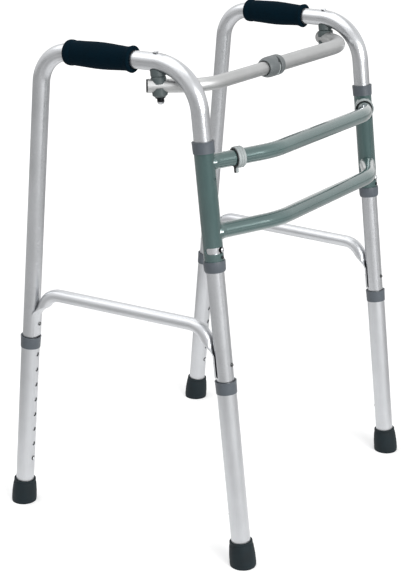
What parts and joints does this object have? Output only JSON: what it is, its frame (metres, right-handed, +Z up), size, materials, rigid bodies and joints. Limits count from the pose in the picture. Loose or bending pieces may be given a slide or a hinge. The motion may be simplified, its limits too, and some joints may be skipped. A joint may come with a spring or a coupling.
{
  "type": "folding walker",
  "caption": "Folding walking frame: two tube side frames with foam grips and adjustable legs that turn in the sleeves of a front frame and share a telescoping top bar.",
  "frame": {"origin": "middle of the footprint's bounding box, on the floor that the four tips stand on", "axes": "+Z up; +Y rearward, towards the user, whose open side it is; +X towards the user's left, along the crossbars"},
  "size_m": [0.5354, 0.4358, 0.7387],
  "materials": {
    "aluminium": "satin drawn tube",
    "green_grey_paint": "smooth green-grey paint on aluminium tube",
    "slate_plastic": "matte moulded plastic",
    "dark_plastic": "matte moulded plastic",
    "light_plastic": "matte moulded plastic",
    "grey_plastic": "matte moulded plastic",
    "black_plastic": "matte moulded plastic",
    "foam": "matte closed-cell foam",
    "rubber": "matte rubber",
    "steel": "zinc-plated steel"
  },
  "bodies": {
    "front_frame": {"right_sleeve": "green_grey_paint", "left_sleeve": "green_grey_paint", "upper_crossbar": "green_grey_paint", "lower_crossbar": "green_grey_paint", "right_sleeve_top_cap": "slate_plastic", "left_sleeve_top_cap": "slate_plastic", "right_sleeve_bottom_cap": "slate_plastic", "left_sleeve_bottom_cap": "slate_plastic", "right_sleeve_rivet": "dark_plastic", "left_sleeve_rivet": "dark_plastic", "right_clip_ring": "light_plastic", "left_clip_ring": "light_plastic", "right_clip_liner": "black_plastic", "left_clip_liner": "black_plastic"},
    "right_side_frame": {"right_frame_tube": "aluminium", "right_grip": "foam", "right_brace": "aluminium", "right_brace_front_rivet": "steel", "right_brace_rear_rivet": "steel", "right_handle_saddle": "dark_plastic"},
    "left_side_frame": {"left_frame_tube": "aluminium", "left_grip": "foam", "left_brace": "aluminium", "left_brace_front_rivet": "steel", "left_brace_rear_rivet": "steel", "left_handle_saddle": "dark_plastic", "left_pivot_bolt": "steel"},
    "right_pivot": {"right_pivot_bolt": "steel", "right_pivot_nut": "steel"},
    "bar_inner": {"inner_bar_tube": "aluminium", "right_bar_top_saddle": "dark_plastic", "right_bar_bottom_saddle": "dark_plastic", "right_bar_end_plug": "black_plastic"},
    "slider": {"bar_slider": "black_plastic"},
    "bar_outer": {"outer_bar_tube": "aluminium", "lock_ring": "grey_plastic", "left_bar_top_saddle": "dark_plastic", "left_bar_bottom_saddle": "dark_plastic", "left_bar_end_plug": "black_plastic", "left_pivot_nut": "steel"},
    "twist_nut": {"lock_nut": "grey_plastic"},
    "right_lock_pin": {"right_lock_button": "steel"},
    "left_lock_pin": {"left_lock_button": "steel"},
    "right_front_leg": {"right_front_lower_tube": "aluminium", "right_front_collar": "slate_plastic", "right_front_tip": "rubber"},
    "right_rear_leg": {"right_rear_lower_tube": "aluminium", "right_rear_collar": "slate_plastic", "right_rear_tip": "rubber"},
    "left_front_leg": {"left_front_lower_tube": "aluminium", "left_front_collar": "slate_plastic", "left_front_tip": "rubber"},
    "left_rear_leg": {"left_rear_lower_tube": "aluminium", "left_rear_collar": "slate_plastic", "left_rear_tip": "rubber"},
    "right_front_pin": {"right_front_snap_button": "steel"},
    "right_rear_pin": {"right_rear_snap_button": "steel"},
    "left_front_pin": {"left_front_snap_button": "steel"},
    "left_rear_pin": {"left_rear_snap_button": "steel"}
  },
  "joints": [
    {"name": "right_fold", "type": "hinge", "parent": "front_frame", "child": "right_side_frame", "pos_m": [-0.2333, -0.1274, 0.6205], "axis": [0, -0.1149, -0.9934], "range_deg": [0, 86]},
    {"name": "left_fold", "type": "hinge", "parent": "front_frame", "child": "left_side_frame", "pos_m": [0.2333, -0.1274, 0.6205], "axis": [0, 0.1149, 0.9934], "range_deg": [0, 68.5]},
    {"name": "right_pivot_turn", "type": "hinge", "parent": "right_side_frame", "child": "right_pivot", "pos_m": [-0.23562, -0.05867, 0.68851], "axis": [0, 0.1149, 0.9934], "range_deg": [0, 94]},
    {"name": "bar_swing", "type": "hinge", "parent": "right_pivot", "child": "bar_inner", "pos_m": [-0.23562, -0.05867, 0.68851], "axis": [0, -0.1149, -0.9934], "range_deg": [0, 4.4]},
    {"name": "bar_shorten_right", "type": "slide", "parent": "bar_inner", "child": "slider", "axis": [-1, 0, 0], "range_m": [0, 0.06]},
    {"name": "bar_shorten_left", "type": "slide", "parent": "slider", "child": "bar_outer", "axis": [-1, 0, 0], "range_m": [0, 0.0605]},
    {"name": "lock_nut_twist", "type": "hinge", "parent": "bar_outer", "child": "twist_nut", "pos_m": [0, -0.1109, 0.6885], "axis": [1, 0, 0], "range_deg": [0, 90]},
    {"name": "right_lock_press", "type": "slide", "parent": "right_side_frame", "child": "right_lock_pin", "axis": [-0.0384, 0.9926, -0.1149], "range_m": [0, 0.003], "stiffness_N_per_m": 300, "springref_m": -0.003},
    {"name": "left_lock_press", "type": "slide", "parent": "left_side_frame", "child": "left_lock_pin", "axis": [0.0384, 0.9926, -0.1149], "range_m": [0, 0.003], "stiffness_N_per_m": 300, "springref_m": -0.003},
    {"name": "right_front_leg_height", "type": "slide", "parent": "right_side_frame", "child": "right_front_leg", "axis": [0, -0.1149, -0.9934], "range_m": [0, 0.1778], "deforming": ["right_front_snap_button"]},
    {"name": "right_rear_leg_height", "type": "slide", "parent": "right_side_frame", "child": "right_rear_leg", "axis": [-0.0078, 0.0882, -0.9961], "range_m": [0, 0.1778], "deforming": ["right_rear_snap_button"]},
    {"name": "left_front_leg_height", "type": "slide", "parent": "left_side_frame", "child": "left_front_leg", "axis": [0, -0.1149, -0.9934], "range_m": [0, 0.1778], "deforming": ["left_front_snap_button"]},
    {"name": "left_rear_leg_height", "type": "slide", "parent": "left_side_frame", "child": "left_rear_leg", "axis": [0.0078, 0.0882, -0.9961], "range_m": [0, 0.1778], "deforming": ["left_rear_snap_button"]},
    {"name": "right_front_snap_press", "type": "slide", "parent": "right_side_frame", "child": "right_front_pin", "axis": [0.0384, -0.9926, 0.1149], "range_m": [0, 0.004], "stiffness_N_per_m": 300, "springref_m": -0.003},
    {"name": "right_rear_snap_press", "type": "slide", "parent": "right_side_frame", "child": "right_rear_pin", "axis": [-0.0376, 0.9954, 0.0885], "range_m": [0, 0.004], "stiffness_N_per_m": 300, "springref_m": -0.003},
    {"name": "left_front_snap_press", "type": "slide", "parent": "left_side_frame", "child": "left_front_pin", "axis": [-0.0384, -0.9926, 0.1149], "range_m": [0, 0.004], "stiffness_N_per_m": 300, "springref_m": -0.003},
    {"name": "left_rear_snap_press", "type": "slide", "parent": "left_side_frame", "child": "left_rear_pin", "axis": [0.0376, 0.9954, 0.0885], "range_m": [0, 0.004], "stiffness_N_per_m": 300, "springref_m": -0.003}
  ],
  "couplings": [
    {"joint": "right_pivot_turn", "follows": "right_fold", "ratio": 1.0895},
    {"joint": "bar_shorten_right", "follows": "right_fold", "m_per_rad": 0.03975},
    {"joint": "bar_swing", "follows": "left_fold", "ratio": 0.0606},
    {"joint": "bar_shorten_left", "follows": "left_fold", "m_per_rad": 0.0503}
  ]
}
